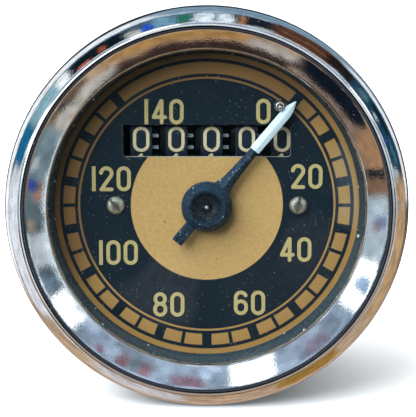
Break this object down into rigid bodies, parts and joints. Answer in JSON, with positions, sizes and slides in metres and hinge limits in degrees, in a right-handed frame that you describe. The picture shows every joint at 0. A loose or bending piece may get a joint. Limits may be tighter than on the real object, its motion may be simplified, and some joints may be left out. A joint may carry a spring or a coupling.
{
  "type": "speedometer",
  "caption": "Round panel speedometer with chrome bezel, domed glass, gold and black dial, swinging pointer, mileage counter and rear cable neck.",
  "frame": {"origin": "on the gauge's axis, in the plane where the back of the bezel sits on the panel", "axes": "the dial faces -Y, +Z is twelve o'clock, +X is to the right of someone reading the dial; +Y runs back along the barrel to the cable neck"},
  "size_m": [0.067, 0.0636, 0.067],
  "materials": {
    "case_paint": "satin black stove enamel",
    "chrome": "polished, lightly pitted",
    "clear_glass": "clear, lightly scratched",
    "black_rubber": "aged",
    "black_lacquer": "satin",
    "dial_gold": "matt gold print with black fields",
    "nickel_steel": "nickel plated, worn",
    "cast_zinc": "as cast",
    "brass": "turned",
    "bronze_strip": "rolled strip",
    "nickel_brass": "nickel plated, worn to brass",
    "bronze": "sintered",
    "zinc_steel": "zinc plated, dull",
    "bright_steel": "turned and polished",
    "lamp_glass": "clear bulb with a metal cap",
    "pointer_black": "black, with a white blade",
    "aluminium": "spun",
    "magnet_iron": "ground",
    "wheel_black": "moulded, cream figures"
  },
  "bodies": {
    "housing": {"case": "case_paint", "flange_ring": "zinc_steel", "bezel": "chrome", "glass": "clear_glass", "glass_gasket": "black_rubber", "dial_ring": "black_lacquer", "dial_plate": "dial_gold", "dial_screws": "nickel_steel", "stop_pin": "nickel_steel", "movement_frame": "cast_zinc", "spindle_cock": "cast_zinc", "cock_screw": "nickel_steel", "spindle_bush": "brass", "hairspring": "bronze_strip", "hairspring_stud": "brass", "cable_neck": "nickel_brass", "drive_bush": "bronze", "mounting_studs": "zinc_steel", "frame_screws": "zinc_steel", "lamp_holder": "zinc_steel", "lamp_bulb": "lamp_glass", "counter_axle": "bright_steel", "pinion_axle": "bright_steel", "axle_spacer": "brass"},
    "pointer_spindle": {"pointer": "pointer_black", "spindle": "bright_steel", "speed_cup": "aluminium", "hairspring_collet": "brass"},
    "drive_spindle": {"drive_shaft": "bright_steel", "drive_worm": "bright_steel", "magnet": "magnet_iron", "field_cup": "zinc_steel", "thrust_washer": "nickel_steel"},
    "cross_gear": {"cross_shaft": "bright_steel", "cross_wheel": "brass", "cross_worm": "bright_steel"},
    "lay_gear": {"lay_shaft": "bright_steel", "lay_wheel": "brass", "lay_worm": "bright_steel"},
    "units_wheel": {"number_wheel_1": "wheel_black", "counter_wheel": "brass"},
    "tens_wheel": {"number_wheel_2": "wheel_black"},
    "hundreds_wheel": {"number_wheel_3": "wheel_black"},
    "thousands_wheel": {"number_wheel_4": "wheel_black"},
    "ten_thousands_wheel": {"number_wheel_5": "wheel_black"},
    "carry_pinion_1": {"transfer_pinion_1": "brass"},
    "carry_pinion_2": {"transfer_pinion_2": "brass"},
    "carry_pinion_3": {"transfer_pinion_3": "brass"},
    "carry_pinion_4": {"transfer_pinion_4": "brass"}
  },
  "joints": [
    {"name": "pointer_swing", "type": "hinge", "parent": "housing", "child": "pointer_spindle", "pos_m": [0, 0, 0], "axis": [0, 1, 0], "range_deg": [0, 280], "stiffness_Nm_per_rad": 0.0001, "springref_deg": -34.38, "deforming": ["hairspring"]},
    {"name": "drive_spin", "type": "hinge", "parent": "housing", "child": "drive_spindle", "pos_m": [0, 0, 0], "axis": [0, 1, 0], "continuous": true},
    {"name": "cross_spin", "type": "hinge", "parent": "housing", "child": "cross_gear", "pos_m": [0, 0.0305, -0.0081], "axis": [1, 0, 0], "continuous": true},
    {"name": "lay_spin", "type": "hinge", "parent": "housing", "child": "lay_gear", "pos_m": [0.01706, 0, 0.0029], "axis": [0, 1, 0], "continuous": true},
    {"name": "units_count", "type": "hinge", "parent": "housing", "child": "units_wheel", "pos_m": [0, 0.0092, 0.0109], "axis": [-1, 0, 0], "continuous": true},
    {"name": "tens_count", "type": "hinge", "parent": "housing", "child": "tens_wheel", "pos_m": [0, 0.0092, 0.0109], "axis": [-1, 0, 0], "continuous": true},
    {"name": "hundreds_count", "type": "hinge", "parent": "housing", "child": "hundreds_wheel", "pos_m": [0, 0.0092, 0.0109], "axis": [-1, 0, 0], "continuous": true},
    {"name": "thousands_count", "type": "hinge", "parent": "housing", "child": "thousands_wheel", "pos_m": [0, 0.0092, 0.0109], "axis": [-1, 0, 0], "continuous": true},
    {"name": "ten_thousands_count", "type": "hinge", "parent": "housing", "child": "ten_thousands_wheel", "pos_m": [0, 0.0092, 0.0109], "axis": [-1, 0, 0], "continuous": true},
    {"name": "carry_1", "type": "hinge", "parent": "housing", "child": "carry_pinion_1", "pos_m": [0, 0.01563, 0.0163], "axis": [-1, 0, 0], "continuous": true},
    {"name": "carry_2", "type": "hinge", "parent": "housing", "child": "carry_pinion_2", "pos_m": [0, 0.01563, 0.0163], "axis": [-1, 0, 0], "continuous": true},
    {"name": "carry_3", "type": "hinge", "parent": "housing", "child": "carry_pinion_3", "pos_m": [0, 0.01563, 0.0163], "axis": [-1, 0, 0], "continuous": true},
    {"name": "carry_4", "type": "hinge", "parent": "housing", "child": "carry_pinion_4", "pos_m": [0, 0.01563, 0.0163], "axis": [-1, 0, 0], "continuous": true}
  ],
  "couplings": [
    {"joint": "cross_spin", "follows": "drive_spin", "ratio": 0.055556},
    {"joint": "lay_spin", "follows": "drive_spin", "ratio": 0.001634},
    {"joint": "units_count", "follows": "drive_spin", "ratio": 0.000068083},
    {"joint": "tens_count", "follows": "drive_spin", "ratio": 0.0000068083},
    {"joint": "hundreds_count", "follows": "drive_spin", "ratio": 0.00000068083},
    {"joint": "thousands_count", "follows": "drive_spin", "ratio": 0.000000068083},
    {"joint": "ten_thousands_count", "follows": "drive_spin", "ratio": 0.0000000068083},
    {"joint": "carry_1", "follows": "drive_spin", "ratio": -0.000017021},
    {"joint": "carry_2", "follows": "drive_spin", "ratio": -0.0000017021},
    {"joint": "carry_3", "follows": "drive_spin", "ratio": -0.00000017021},
    {"joint": "carry_4", "follows": "drive_spin", "ratio": -0.000000017021}
  ]
}
